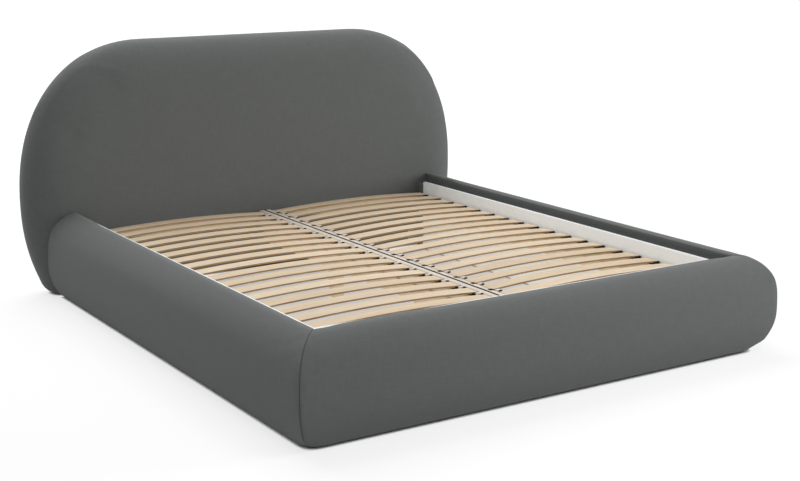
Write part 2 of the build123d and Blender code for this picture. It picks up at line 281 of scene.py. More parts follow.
def flat_grid(name, rows):
    """A grid on rows of points, whose places on the cloth are those seen from the front."""
    return shaped_grid(name, rows, [[(point.x, point.z) for point in row] for row in rows])


def rail_line(extra, crown):
    """Outer curve of a rail's padding from toe to lip, measured from the board's inner face."""
    widest = RAIL_THICKNESS + extra
    points = [Vector((widest - inwards, up)) for inwards, up in FLANK]
    return flowing(points + [Vector(place) for place in crown])


# Curve of a rail's lower edge, how far the cloth turns under it, and how far it drops behind the board
TOE_CURVE = 0.012
UNDER_REACH = 0.03
LIP_DROP = 0.006
# Steps along the part of a rail's section that shows
SHOWN_STEPS = 46


def rail_loop(extra, crown, wall=()):
    """Closed section of a rail's padding, and how many of its points show."""
    outer = rail_line(extra, crown)
    under = Vector((CORE_OUTSIDE + UNDER_REACH, FLOOR_GAP))
    toe = Vector((min(outer, key=lambda point: abs(point.y - FLOOR_GAP)).x, FLOOR_GAP))
    rise = [point for point in outer if (point - toe).length > TOE_CURVE and point.y > FLOOR_GAP]
    before = toe + (under - toe).normalized() * TOE_CURVE
    corner = []
    for step in range(1, 6):
        share = step / 6
        first = before.lerp(toe, share)
        corner.append(first.lerp(toe.lerp(rise[0], share), share))
    shown = spaced([before] + corner + rise, SHOWN_STEPS) + [Vector(place) for place in wall]
    hidden = [
        Vector((BOARD_OUTSIDE, shown[-1].y - LIP_DROP)),
        Vector((BOARD_OUTSIDE, CORE_TOP)),
        Vector((CORE_OUTSIDE, CORE_TOP)),
        Vector((CORE_OUTSIDE, CORE_TOP / 2)),
        Vector((CORE_OUTSIDE, FLOOR_GAP)),
        under,
    ]
    return shown + hidden, len(shown)


def outward_normals(loop, shown):
    """Outward direction of each point of a section; zero where it doesn't show."""
    normals = []
    for index in range(len(loop)):
        if index >= shown:
            normals.append(Vector((0, 0)))
            continue
        along = loop[(index + 1) % len(loop)] - loop[index - 1]
        if index == shown - 1:
            along = loop[index] - loop[index - 1]
        normals.append(Vector((along.y, -along.x)).normalized())
    return normals


def eased(share):
    """A smooth step from 0 to 1."""
    share = min(max(share, 0), 1)
    return share * share * (3 - 2 * share)


def corner_rounded(point):
    """The place of a padding point once the foot end's corners are rounded near the floor."""
    rise = (point.z - FLOOR_GAP) / (TOE_ROUND_TOP - FLOOR_GAP)
    round_by = sizes().toe_round * eased(1 - rise)
    if round_by <= 0:
        return point
    inwards = FLANK[-1][0]
    for (near, low), (far, high) in zip(FLANK, FLANK[1:]):
        if low <= point.z < high:
            inwards = near + (far - near) * (point.z - low) / (high - low)
            break
    side = math.copysign(1, point.x)
    over = abs(point.x) - (RECESS_HALF + RAIL_THICKNESS - inwards - round_by)
    front = FRONT_Y + inwards + round_by - point.y
    if over <= 0 or front <= 0:
        return point
    share = max(over, front) / math.hypot(over, front) - 1
    return Vector((point.x + side * over * share, point.y - front * share, point.z))


def seam_inset(distance, depth, reach):
    """How far cloth is drawn in at a distance from a seam."""
    if distance >= reach:
        return 0.0
    share = 1 - distance / reach
    return depth * (1 - math.sqrt(1 - share * share))


def mitre_inset(distance):
    """How far cloth is drawn in at a distance from a mitre."""
    return seam_inset(distance, sizes().seam_depth, MITRE_REACH)


def head_half_width(z):
    """Half width of the headboard's outline at a height below its waist."""
    waist = HEAD_TOP - CORNER_RISE
    fall = max((waist - z) / waist, 0)
    return HEAD_HALF - BASE_NARROWING * fall**WAIST_POWER


def edge_depth(inset):
    """How far behind the front face the headboard's edge lies at an inset from its outline."""
    share = min(max(1 - inset / EDGE_RUN, 0), 1)
    return EDGE_DEPTH * (1 - (1 - share**EDGE_POWER) ** (1 / EDGE_POWER))


def head_surface_y(x, z):
    """Where a rail that comes from the front meets the headboard."""
    return FACE_Y + edge_depth(head_half_width(z) - abs(x))


# Rows of points near a seam, as distances from it; the footboard's form changes further along
SEAM_STEPS = [0, 0.0006, 0.0016, 0.0032, 0.0055, 0.009, 0.016, 0.028, 0.045]
FOOT_SEAM_STEPS = SEAM_STEPS + [0.058, 0.07, 0.09, 0.12]
# Steps from one seam's rows to the other's along a side rail and along the footboard
SIDE_STEPS = 92
FOOT_STEPS = 84
SIM_FRAMES = 20


def plump(piece, cap, pressure=4.0):
    """Let pressure swell a piece's cloth, and keep no point further than cap from its place."""
    rest = [vertex.co.copy() for vertex in piece.data.vertices]
    activate(piece)
    modifier = piece.modifiers.new("Cloth", "CLOTH")
    settings = modifier.settings
    settings.quality = 4
    settings.mass = 0.3
    settings.tension_stiffness = 15
    settings.compression_stiffness = 15
    settings.shear_stiffness = 5
    settings.bending_stiffness = 0.5
    settings.use_pressure = True
    settings.uniform_pressure_force = pressure
    settings.effector_weights.gravity = 0
    settings.vertex_group_mass = "held"
    modifier.collision_settings.use_collision = False
    modifier.point_cache.frame_start = 1
    modifier.point_cache.frame_end = SIM_FRAMES
    for step in range(1, SIM_FRAMES + 1):
        bpy.context.scene.frame_set(step)
    bpy.ops.object.modifier_apply(modifier="Cloth")
    bpy.context.scene.frame_set(1)
    for vertex, place in zip(piece.data.vertices, rest):
        move = vertex.co - place
        if move.length > 0:
            vertex.co = place + move * (cap * math.tanh(move.length / cap) / move.length)
    piece.vertex_groups.clear()


def finish_cover(piece, is_held, fullness, node):
    """Swell a padded cover where nothing holds it, dress it, and let it stand for its node."""
    finish_shape(piece)
    group = piece.vertex_groups.new(name="held")
    group.add([vertex.index for vertex in piece.data.vertices if is_held(vertex.co)], 1.0, "REPLACE")
    plump(piece, fullness)
    smooth(piece, 50)
    give(piece, "upholstery_cloth")
    stand_for(piece, "bed", node)


def side_rail(side_name):
    """The padded cover of one side rail, from the mitre to the headboard."""
    side = SIDES[side_name]
    loop, shown = rail_loop(0, SIDE_CROWN, SIDE_WALL)
    normals = outward_normals(loop, shown)
    lengths = running_length(loop + loop[:1])
    rows = []
    places = []
    last = SEAM_STEPS[-1]

    def row(distance_at, seam):
        points = []
        cloth = []
        for index, along in zip((*range(len(loop)), 0), lengths):
            flat = loop[index] - normals[index] * seam
            y = distance_at(flat)
            swell = SWELL_RISE * eased((y - SWELL_START) / SWELL_RUN)
            if flat.y > LIP_Z:
                swell *= math.exp(-(((flat.x - SIDE_CROWN[-1][0]) / 0.016) ** 2))
            else:
                swell = 0
            points.append(corner_rounded(Vector((side * (RECESS_HALF + flat.x), y, flat.y + swell))))
            cloth.append((along, y))
        rows.append(points)
        places.append(cloth)

    def near_end(flat):
        return MITRE_Y - flat.x

    def far_end(flat):
        return head_surface_y(RECESS_HALF + flat.x, flat.y) + HEAD_OVERLAP

    for distance in SEAM_STEPS:
        row(lambda flat, d=distance: near_end(flat) + d, mitre_inset(distance))
    for step in range(1, SIDE_STEPS):
        share = step / SIDE_STEPS
        row(lambda flat, s=share: (near_end(flat) + last) * (1 - s) + (far_end(flat) - last) * s, 0)
    for distance in reversed(SEAM_STEPS):
        row(lambda flat, d=distance: far_end(flat) - d, seam_inset(distance, HEAD_INSET, HEAD_REACH))

    def is_held(place):
        beside = abs(place.x) - RECESS_HALF
        return (
            beside < SIDE_CROWN[-1][0] and place.z < SIDE_CROWN[-1][1]
            or place.z < FLOOR_GAP + HELD_REACH
            or place.y < near_end(Vector((beside, 0))) + HELD_REACH
            or place.y > FACE_Y - HELD_REACH
        )

    piece = shaped_grid(f"{side_name}_rail_cover", rows, places)
    finish_cover(piece, is_held, RAIL_FULLNESS, f"{side_name}_rail_cushion")


def rail_height_at(u, line):
    """Height of a section's upper side at a distance from the board's inner face."""
    top = [point for point in line if point.y > CROWN_LOW]
    for outer, inner in zip(top, top[1:]):
        if inner.x <= u <= outer.x:
            share = (outer.x - u) / max(outer.x - inner.x, 1e-9)
            return outer.y + (inner.y - outer.y) * share
    return LIP_Z


def footboard_cover():
    """The padded cover of the footboard between its two mitres."""
    loop, shown = rail_loop(FOOT_EXTRA, FOOT_CROWN)
    normals = outward_normals(loop, shown)
    lengths = running_length(loop + loop[:1])
    narrow = rail_line(0, SIDE_CROWN) + [Vector(place) for place in SIDE_WALL]
    crest_u = FOOT_CROWN[0][0]
    rows = []
    places = []

    def dipped(index, share):
        flat = loop[index]
        if index >= shown or flat.y < CROWN_LOW or flat.x > crest_u + 0.03:
            return flat
        low = max(min(rail_height_at(flat.x - FOOT_EXTRA, narrow), flat.y), LIP_Z - 0.002)
        return Vector((flat.x, flat.y + (low - flat.y) * share))

    def end_x(flat):
        return RECESS_HALF + max(flat.x - FOOT_EXTRA, 0)

    def row(place_at, distance, seam):
        points = []
        cloth = []
        dip = eased(1 - distance / DIP_REACH)
        for index, along in zip((*range(len(loop)), 0), lengths):
            flat = dipped(index, dip) - normals[index] * seam
            x = place_at(flat)
            if index < shown and flat.y > LIP_Z:
                flat.y += CROWN_SWELL * math.exp(-(((x - CROWN_SWELL_X) / CROWN_SWELL_WIDTH) ** 2))
            points.append(corner_rounded(Vector((x, FOOT_FACE_Y - flat.x, flat.y))))
            cloth.append((x, along))
        rows.append(points)
        places.append(cloth)

    for distance in FOOT_SEAM_STEPS:
        row(lambda flat, d=distance: -end_x(flat) + d, distance, mitre_inset(distance))
    for step in range(1, FOOT_STEPS):
        share = step / FOOT_STEPS
        row(lambda flat, s=share: (2 * s - 1) * (end_x(flat) - FOOT_SEAM_STEPS[-1]), 1.0, 0)
    for distance in reversed(FOOT_SEAM_STEPS):
        row(lambda flat, d=distance: end_x(flat) - d, distance, mitre_inset(distance))

    def is_held(place):
        beside = FOOT_FACE_Y - place.y
        return (
            beside < CORE_OUTSIDE and place.z < LIP_Z + HELD_REACH
            or place.z < FLOOR_GAP + HELD_REACH
            or abs(place.x) > end_x(Vector((beside, 0))) - HELD_REACH
        )

    piece = shaped_grid("footboard_cover", rows, places)
    finish_cover(piece, is_held, FOOT_FULLNESS, "footboard_cushion")


# Steps along the headboard's rounded front edge, and along the turn to its back
FRONT_STEPS = 22
TURN_STEPS = 8
# Steps along half of the headboard's outline: its bottom, its rounded foot, its side, its corner and its top
BOTTOM_STEPS = 43
BASE_STEPS = 4
FLANK_STEPS = 17
CORNER_STEPS = 44
TOP_STEPS = 23


def half_outline(inset):
    """Right half of the headboard's outline drawn in by inset, from bottom middle to top middle."""
    waist = HEAD_TOP - CORNER_RISE
    bottom = max(FLOOR_GAP + BASE_RISE_SHARE * inset - 0.002, FLOOR_GAP)
    start = Vector((head_half_width(bottom + BASE_RADIUS) - inset, bottom + BASE_RADIUS))
    lean = Vector((head_half_width(bottom) - inset, bottom))
    foot = Vector((lean.x - BASE_RADIUS, bottom))
    line = spaced([Vector((0, bottom)), foot], BOTTOM_STEPS)
    curve = []
    for step in range(17):
        share = step / 16
        curve.append(foot.lerp(lean, share).lerp(lean.lerp(start, share), share))
    line += spaced(curve, BASE_STEPS)[1:]
    flank = []
    for step in range(41):
        z = start.y + (waist - start.y) * step / 40
        flank.append(Vector((head_half_width(z) - inset, z)))
    line += spaced(flank, FLANK_STEPS)[1:]
    corner = []
    run = CORNER_RUN - inset
    rise = CORNER_RISE - inset
    for step in range(161):
        angle = math.pi / 2 * step / 160
        x = HEAD_HALF - CORNER_RUN + run * max(math.cos(angle), 0) ** (2 / CORNER_POWER)
        z = waist + rise * math.sin(angle) ** (2 / CORNER_POWER)
        corner.append(Vector((x, z)))
    line += spaced(corner, CORNER_STEPS)[1:]
    line += spaced([corner[-1], Vector((0, HEAD_TOP - inset))], TOP_STEPS)[1:]
    return line


def outline_ring(inset, y):
    """Closed outline of the headboard at a depth, its last point the first again."""
    right = half_outline(inset)
    left = [Vector((-point.x, point.y)) for point in right[-2:0:-1]]
    return [Vector((point.x, y, point.y)) for point in right + left + right[:1]]


def face_patch(ring):
    """Rows of points that fill a flat ring, corner to corner."""
    count = len(ring) - 1
    half = count // 2
    low = BOTTOM_STEPS + BASE_STEPS // 2
    side = half - 2 * low
    bottom = [ring[index % count] for index in range(-low, low + 1)]
    right = [ring[low + index] for index in range(side + 1)]
    top = [ring[(half + low - index) % count] for index in range(2 * low + 1)]
    left = [ring[(count - low - index) % count] for index in range(side + 1)]
    rows = []
    for row in range(side + 1):
        v = row / side
        points = []
        for column in range(2 * low + 1):
            u = column / (2 * low)
            edges = bottom[column] * (1 - v) + top[column] * v + left[row] * (1 - u) + right[row] * u
            corners = (bottom[0] * (1 - u) + bottom[-1] * u) * (1 - v) + (top[0] * (1 - u) + top[-1] * u) * v
            points.append(edges - corners)
        rows.append(points)
    return rows


def headboard_cover():
    """The pillow of the headboard: its front, its rounded edge and its tucked back."""
    layers = []
    for step in range(FRONT_STEPS + 1):
        angle = math.pi / 2 * step / FRONT_STEPS
        inset = EDGE_RUN * (1 - math.sin(angle) ** (2 / EDGE_POWER))
        layers.append((inset, EDGE_DEPTH * (1 - math.cos(angle) ** (2 / EDGE_POWER))))
    depth = BACK_Y - FACE_Y
    radius = (depth - EDGE_DEPTH) / math.sin(BACK_TURN)
    for step in range(1, TURN_STEPS + 1):
        angle = BACK_TURN * step / TURN_STEPS
        layers.append((radius * (1 - math.cos(angle)), EDGE_DEPTH + radius * math.sin(angle)))
    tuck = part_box("headboard_back_cloth")[0].y - FACE_Y - 0.0005
    layers += [(BACK_RIM, depth - 0.0004), (TUCK_RIM, tuck), (0.085, tuck), (TUCK_END - 0.0005, tuck)]
    inner = PANEL_FACE - FACE_Y
    layers += [(TUCK_END, back) for back in (tuck - 0.003, (tuck + inner) / 2, inner - 0.0005)]
    base = outline_ring(EDGE_RUN, 0)
    rim = outline_ring(0, 0)
    rows = []
    places = []
    reach = 0.0
    last = layers[0]
    for inset, back in layers:
        reach += math.hypot(inset - last[0], back - last[1])
        last = (inset, back)
        cloth = []
        for near, far in zip(base, rim):
            way = Vector((far.x - near.x, far.z - near.z))
            way = way.normalized() if way.length > 0 else way
            cloth.append((near.x + way.x * reach, near.z + way.y * reach))
        rows.append(outline_ring(inset, FACE_Y + back))
        places.append(cloth)
    shell = shaped_grid("headboard_cover", rows, places)
    front = flat_grid("headboard_front", face_patch(rows[0]))
    inside = flat_grid("headboard_inside", face_patch(rows[-1]))

    def is_held(place):
        on_panel = abs(place.y - PANEL_FACE) < 0.002 and abs(place.x) < HEAD_HALF - EDGE_RUN / 2
        return (
            place.y > FACE_Y + EDGE_DEPTH + 0.03
            or place.z < FLOOR_GAP + HELD_REACH
            or on_panel and place.z < HEAD_TOP - 0.1
        )

    piece = joined([shell, front, inside], "headboard_cover")
    finish_cover(piece, is_held, sizes().head_fullness, "headboard_cushion")


def block(name, low, high):
    """A cube primitive that fills the space between two corners."""
    deselect_all()
    low, high = Vector(low), Vector(high)
    bpy.ops.mesh.primitive_cube_add(size=1, location=(low + high) / 2, scale=high - low)
    piece = bpy.context.object
    piece.name = name
    piece.data.name = name
    settle(piece)
    return piece


def select_edges(piece, chosen):
    """In edit mode, select the edges whose middle and direction pass the test."""
    mesh = edit(piece)
    bpy.ops.mesh.select_mode(type="EDGE")
    for edge in mesh.edges:
        start, end = (vertex.co for vertex in edge.verts)
        if (end - start).length > 0 and chosen((start + end) / 2, (end - start).normalized()):
            edge.select_set(True)
    bmesh.update_edit_mesh(piece.data)


def bevel_edges(piece, chosen, width, segments):
    """Round the edges that pass the test."""
    select_edges(piece, chosen)
    bpy.ops.mesh.bevel(offset=width, segments=segments, profile=0.5, affect="EDGES")
    bpy.ops.mesh.select_mode(type="VERT")
    leave_edit()


def slice_along(piece, axis, places):
    """Cut a piece by planes across an axis at the given places."""
    edit(piece)
    normal = Vector((0, 0, 0))
    normal[axis] = 1
    for place in places:
        point = Vector((0, 0, 0))
        point[axis] = place
        bpy.ops.mesh.select_all(action="SELECT")
        bpy.ops.mesh.bisect(plane_co=point, plane_no=normal)
    leave_edit()


def face_finish(piece, chosen, index):
    """Give the faces whose middle and normal pass the test another of the piece's finishes."""
    for face in piece.data.polygons:
        if chosen(face.center, face.normal):
            face.material_index = index


def copied(piece, name, move):
    """A copy of a piece with its own mesh, moved by a distance."""
    activate(piece)
    bpy.ops.object.duplicate(linked=False)
    twin = bpy.context.object
    twin.name = name
    twin.data.name = name
    bpy.ops.transform.translate(value=move)
    settle(twin)
    return twin


def joined(pieces, name):
    """Several pieces as one."""
    deselect_all()
    for piece in pieces:
        piece.select_set(True)
    bpy.context.view_layer.objects.active = pieces[0]
    bpy.ops.object.join()
    pieces[0].name = name
    pieces[0].data.name = name
    return pieces[0]


# How near two places are that count as the same
TOUCH = 0.0001

# A slat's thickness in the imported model, the rounding of its corners and edges, and its spans
PACKED_SLAT = 0.008
SLAT_CORNER = 0.005
SLAT_EDGE = 0.0016
SLAT_SPANS = 12


def add_slats():
    """The bowed slats: one is shaped, and the others are its copies."""
    low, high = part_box("right_slat_01")
    thickness = sizes().slat_thickness
    bow = high.z - low.z - PACKED_SLAT
    piece = block("right_slat", low, (high.x, high.y, low.z + thickness))
    slice_along(piece, 0, [low.x + (high.x - low.x) * step / SLAT_SPANS for step in range(1, SLAT_SPANS)])

    def to_rim(middle):
        return min(middle.x - low.x, high.x - middle.x), min(middle.y - low.y, high.y - middle.y)

    def at_corner(middle, way):
        return abs(way.z) > 0.9 and to_rim(middle)[0] < 0.001

    def on_rim(middle, way):
        near_x, near_y = to_rim(middle)
        up = middle.z - low.z
        flat = abs(way.z) < 0.1 and min(abs(up), abs(up - thickness)) < TOUCH
        return flat and (min(near_x, near_y) < TOUCH or near_x + near_y < SLAT_CORNER + 2 * TOUCH)

    bevel_edges(piece, at_corner, SLAT_CORNER, 3)
    bevel_edges(piece, on_rim, SLAT_EDGE, 2)
    half = (high.x - low.x) / 2
    centre = (high.x + low.x) / 2
    for vertex in piece.data.vertices:
        share = (vertex.co.x - centre) / half
        vertex.co.z += bow * (1 - share * share) + PACKED_SLAT - thickness
    give(piece, "birch_veneer", "slat_edge")
    face_finish(piece, lambda middle, normal: abs(normal.z) < 0.6, 1)
    smooth(piece, 35)
    for side_name in SIDES:
        for number in range(1, SLAT_COUNT + 1):
            node = f"{side_name}_slat_{number:02d}"
            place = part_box(node)[0]
            twin = copied(piece, f"{node}_bowed", place - low)
            stand_for(twin, f"{side_name}_frame", node)
    bpy.data.objects.remove(piece)


# The cloth round a side board's last part lies back from the white face, and ends below the board's top
WRAP_HOLLOW = 0.003
WRAP_TOP = 0.350
# Rounding of the board's long edges, and of the wrap's
BOARD_EDGE = 0.0012
WRAP_EDGE = 0.004


def add_boards():
    """The white inner boards, their long edges rounded."""
    for node in ("left_rail_board", "right_rail_board", "footboard_board"):
        low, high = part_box(node)
        if "rail" in node:
            high.y -= BOARD_SHORT
        piece = block(f"{node}_laminate", low, high)
        bevel_edges(piece, lambda middle, way: middle.z > high.z - TOUCH and abs(way.z) < 0.1, BOARD_EDGE, 3)
        give(piece, "white_laminate")
        if "rail" in node:
            wrap_low = Vector((low.x, high.y, low.z))
            wrap_high = Vector((high.x, high.y + BOARD_SHORT, WRAP_TOP))
            if low.x > 0:
                wrap_low.x += WRAP_HOLLOW
            else:
                wrap_high.x -= WRAP_HOLLOW
            wrap = block(f"{node}_wrap", wrap_low, wrap_high)
            upper = WRAP_TOP - TOUCH
            bevel_edges(wrap, lambda middle, way: middle.z > upper and abs(way.y) > 0.9, WRAP_EDGE, 3)
            give(wrap, "upholstery_cloth")
            piece = joined([piece, wrap], f"{node}_laminate")
        smooth(piece, 35)
        stand_for(piece, "bed", node)


# Widths of a frame's inner and outer member, and thickness of its end bars
INNER_MEMBER = 0.028
OUTER_MEMBER = 0.030
BAR_THICKNESS = 0.020
# The end bars' lower and upper edges, from the lowest and the highest point of the frame
BAR_LOW = 0.022
BAR_HIGH = 0.004
# Height up to which an inner member is painted pale, as painted light under the slats
PAINTED_LIGHT_HEIGHT = 0.032


def add_frame_timbers():
    """The side members and end bars of both slatted frames, their edges eased."""
    rounding = sizes().member_round
    for side_name, side in SIDES.items():
        node = f"{side_name}_frame_timbers"
        low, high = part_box(node)
        near, far = sorted((abs(low.x), abs(high.x)))
        inner, outer = near + INNER_MEMBER, far - OUTER_MEMBER
        holder_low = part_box(f"{side_name}_slat_holders")[0].z
        bar_low, bar_high = low.z + BAR_LOW, high.z - BAR_HIGH
        painted_light_top = low.z + PAINTED_LIGHT_HEIGHT
        pieces = []
        for start, end in (
            ((near, low.y, low.z), (inner, high.y, high.z)),
            ((outer, low.y, low.z), (far, high.y, holder_low)),
            ((inner, high.y - BAR_THICKNESS, bar_low), (outer, high.y, bar_high)),
            ((inner, low.y, bar_low), (outer, low.y + BAR_THICKNESS, bar_high)),
        ):
            x_low, x_high = sorted((side * start[0], side * end[0]))
            piece = block(f"{node}_part", (x_low, *start[1:]), (x_high, *end[1:]))
            if start[0] == near:
                slice_along(piece, 2, [painted_light_top])
            along = 1 if end[1] - start[1] > BAR_THICKNESS * 2 else 0
            bevel_edges(piece, lambda middle, way, axis=along: abs(way[axis]) > 0.9, rounding, 3)
            pieces.append(piece)
        timbers = joined(pieces, f"{node}_eased")
        give(timbers, "layered_timber", "dark_plastic_and_painted_shade", "pale_painted_light")
        gap_edge = near + rounding - TOUCH
        far_edge = inner + 0.0005
        # Painted shade: the faces toward the gap between the frames take the dark finish.
        face_finish(timbers, lambda middle, normal: abs(middle.x) < gap_edge, 1)
        # Painted light: the inner member's other faces take the pale finish; above the painted light's
        # height, its face toward the frame's inside goes back to timber.
        face_finish(timbers, lambda middle, normal: gap_edge < abs(middle.x) < far_edge, 2)
        face_finish(timbers, lambda middle, normal: (
            middle.z > painted_light_top and abs(middle.x) < far_edge and normal.x * side > 0.9), 0)
        smooth(timbers, 35)
        stand_for(timbers, f"{side_name}_frame", node)


# Half the length of a slat holder along the bed, and the wall and the depth of its seat
HOLDER_HALF = 0.0393
SEAT_WALL = 0.0035
SEAT_DEPTH = 0.0055
# Reach of a holder's nose, clip and peg before its seat, where the clip starts, and their rise over the seat
NOSE_REACH = 0.014
CLIP_START = 0.012
CLIP_REACH = 0.028
CLIP_RISE = 0.0045
PEG_REACH = 0.034
PEG_RISE = 0.004
# Where a nose starts in its tray, and the lower and upper height of a nose that carries no clip
NOSE_START = 0.004
LOW_NOSE = (0.0015, 0.0065)
# Rounding of the nose and the clip, of the peg, and of the finger
NOSE_ROUND = 0.002
PEG_ROUND = 0.0015
FINGER_ROUND = 0.003
# Width of the two members' holders across the bed
HOLDER_WIDTH = 0.030
# Lowest and highest corner of the finger beside a holder of the right frame, from the middle of its slat
FINGER = ((0.015, -0.051, 0.300), (0.032, -0.033, 0.3072))


def saddle(name, x_low, x_high, middle_y, low, top, clipped):
    """A slat holder: a dark saddle with a sunk seat and a nose, and at the bed's middle a clip and a peg."""
    tray = block(name, (x_low, middle_y - HOLDER_HALF, low), (x_high, middle_y + HOLDER_HALF, top))
    edit(tray)
    bpy.ops.mesh.select_mode(type="FACE")
    for face in bmesh.from_edit_mesh(tray.data).faces:
        if face.normal.z > 0.9:
            face.select_set(True)
    bpy.ops.mesh.inset(thickness=SEAT_WALL, depth=0)
    bpy.ops.transform.translate(value=(0, 0, -SEAT_DEPTH))
    bpy.ops.mesh.select_mode(type="VERT")
    leave_edit()
    front = middle_y - HOLDER_HALF + NOSE_START
    x_end = x_high - 0.001
    foot, nose_top = (low, top) if clipped else (low + LOW_NOSE[0], low + LOW_NOSE[1])
    nose = block(name, (x_low, front - NOSE_REACH, foot), (x_end, front, nose_top))
    tip = front - NOSE_REACH + 0.003
    bevel_edges(nose, lambda middle, way: middle.y < tip and middle.z > foot + 0.002, NOSE_ROUND, 2)
    give(tray, "dark_plastic_and_painted_shade")
    give(nose, "dark_plastic_and_painted_shade")
    if not clipped:
        return joined([tray, nose], name)
    clip_low = (x_low + 0.006, front - CLIP_REACH, low)
    clip = block(name, clip_low, (x_end, front - CLIP_START, top + CLIP_RISE))
    bevel_edges(clip, lambda middle, way: middle.z > top + CLIP_RISE - 0.0005, NOSE_ROUND, 2)
    peg_low = (x_high - 0.012, front - PEG_REACH, low)
    peg = block(name, peg_low, (x_high - 0.002, front - CLIP_REACH, top + PEG_RISE))
    bevel_edges(peg, lambda middle, way: middle.z > top + PEG_RISE - 0.0005, PEG_ROUND, 2)
    give(peg, "dark_plastic_and_painted_shade")
    give(clip, "pale_plastic")
    return joined([tray, nose, peg, clip], name)


def add_holders():
    """The saddles that carry the slats' ends: one pair is shaped, and the others are its copies."""
    for side_name, side in SIDES.items():
        node = f"{side_name}_slat_holders"
        low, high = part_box(node)
        near, far = sorted((abs(low.x), abs(high.x)))
        first = sum(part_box(f"{side_name}_slat_01"), Vector()) / 2
        pair = []
        for start, end in ((near, near + HOLDER_WIDTH), (far - HOLDER_WIDTH, far - 0.0005)):
            x_low, x_high = sorted((side * start, side * end))
            pair.append(saddle(f"{node}_one", x_low, x_high, first.y, low.z, high.z, start == near))
        if side > 0:
            beside = Vector((0, first.y, 0))
            finger = block(f"{node}_one", *(beside + Vector(corner) for corner in FINGER))
            bevel_edges(finger, lambda middle, way: middle.z > FINGER[1][2] - 0.0012, FINGER_ROUND, 2)
            give(finger, "dark_plastic_and_painted_shade")
            pair.append(finger)
        pair = joined(pair, f"{node}_pair")
        copies = []
        for number in range(2, SLAT_COUNT + 1):
            place = sum(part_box(f"{side_name}_slat_{number:02d}"), Vector()) / 2
            copies.append(copied(pair, f"{node}_{number}", (0, place.y - first.y, 0)))
        holders = joined([pair, *copies], f"{node}_moulded")
        smooth(holders, 35)
        stand_for(holders, f"{side_name}_frame", node)


# How far the back cloth hangs in past its edge, how wavy it is, and how far from the edge that starts
SLACK_DEPTH = 0.0007
SLACK_WAVE = 0.00025
SLACK_REACH = 0.08


def add_back_cloth():
    """The thin cloth stretched over the headboard's back, hanging in a little away from its edge."""
    low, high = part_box("headboard_back_cloth")
    inset = HEAD_TOP - high.z
    rim = outline_ring(inset, 0)
    rows = face_patch(rim)
    for row in rows:
        for point in row:
            edge = min((point - other).length for other in rim[::3])
            slack = min(edge / SLACK_REACH, 1)
            ripple = math.sin(point.x * 9 + point.z * 4) + math.sin(point.x * 3.1 - point.z * 11)
            point.y = high.y - 0.0006 - slack * (SLACK_DEPTH + SLACK_WAVE * ripple)
    cloth = flat_grid("back_cloth", rows)
    finish_shape(cloth, closed=False)
    solid = cloth.modifiers.new("thickness", "SOLIDIFY")
    solid.thickness = 0.0005
    solid.offset = 0
    apply_modifiers(cloth)
    smooth(cloth, 50)
    give(cloth, "lining_cloth")
    stand_for(cloth, "bed", "headboard_back_cloth")


class Nodes:
    """Short calls for the nodes of one material or world."""

    def __init__(self, owner):
        owner.use_nodes = True
        self.tree = owner.node_tree
        self.tree.nodes.clear()

    def put(self, value, socket):
        """Link another node's output to an input, or set the input itself."""
        if isinstance(value, bpy.types.NodeSocket):
            self.tree.links.new(value, socket)
        else:
            socket.default_value = value

    def add(self, kind, *values, inputs=None, **settings):
        """A node with its settings, and its inputs by order or by name."""
        node = self.tree.nodes.new(f"ShaderNode{kind}")
        for name, value in settings.items():
            setattr(node, name, value)
        for socket, value in zip(node.inputs, values):
            self.put(value, socket)
        for name, value in (inputs or {}).items():
            self.put(value, node.inputs[name])
        return node

    def math(self, operation, *values):
        return self.add("Math", *values, operation=operation).outputs[0]

    def mixed(self, *parts):
        """The sum of several values, each times its share."""
        total = self.math("MULTIPLY", *parts[0])
        for part in parts[1:]:
            total = self.math("ADD", total, self.math("MULTIPLY", *part))
        return total

    def ramp(self, factor, stops):
        """Colours along a value, from sRGB stops."""
        node = self.add("ValToRGB", factor)
        elements = node.color_ramp.elements
        while len(elements) < len(stops):
            elements.new(0.5)
        for element, (position, colour) in zip(elements, stops):
            element.position = position
            element.color = linear(colour)
        return node.outputs["Color"]

    def noise(self, vector, scale=1.0, detail=2.0, roughness=0.5):
        """A noise texture's value; a scale of three numbers stretches it along the axes."""
        if isinstance(scale, tuple):
            vector = self.add("Mapping", inputs={"Vector": vector, "Scale": scale}).outputs["Vector"]
            scale = 1.0
        inputs = {"Vector": vector, "Scale": scale, "Detail": detail, "Roughness": roughness}
        return self.add("TexNoise", inputs=inputs).outputs["Fac"]

    def split(self, vector):
        """The X, Y and Z of a vector."""
        return self.add("SeparateXYZ", vector).outputs

    def object_place(self):
        return self.add("TexCoord").outputs["Object"]

    def cloth_place(self):
        return self.add("UVMap", uv_map="UVMap").outputs["UV"]

    def seen_directly(self):
        """1 for what the camera sees itself, in a mirror or through glass."""
        path = self.add("LightPath").outputs
        direct = self.math("MAXIMUM", path["Is Camera Ray"], path["Is Glossy Ray"])
        return self.math("MAXIMUM", direct, path["Is Transmission Ray"])


def linear(colour):
    """An sRGB colour of 0 to 255 as a linear one with alpha."""
    made = []
    for part in colour:
        share = part / 255
        made.append(share / 12.92 if share <= 0.04045 else ((share + 0.055) / 1.055) ** 2.4)
    return (*made, 1.0)


def scaled(colour, factor):
    return tuple(min(part * factor, 255) for part in colour)


def new_finish(name, values):
    """A material whose shader has its plain values, with the calls for its nodes."""
    nodes = Nodes(bpy.data.materials.new(name))
    shader = nodes.add("BsdfPrincipled", inputs=values)
    nodes.add("OutputMaterial", shader.outputs["BSDF"])
    return nodes, shader


def dress(nodes, shader, colour, height, depth, strength):
    """Give a shader its colour and its relief."""
    bump = nodes.add("Bump", inputs={"Strength": strength, "Distance": depth, "Height": height})
    nodes.put(colour, shader.inputs["Base Color"])
    nodes.put(bump.outputs["Normal"], shader.inputs["Normal"])


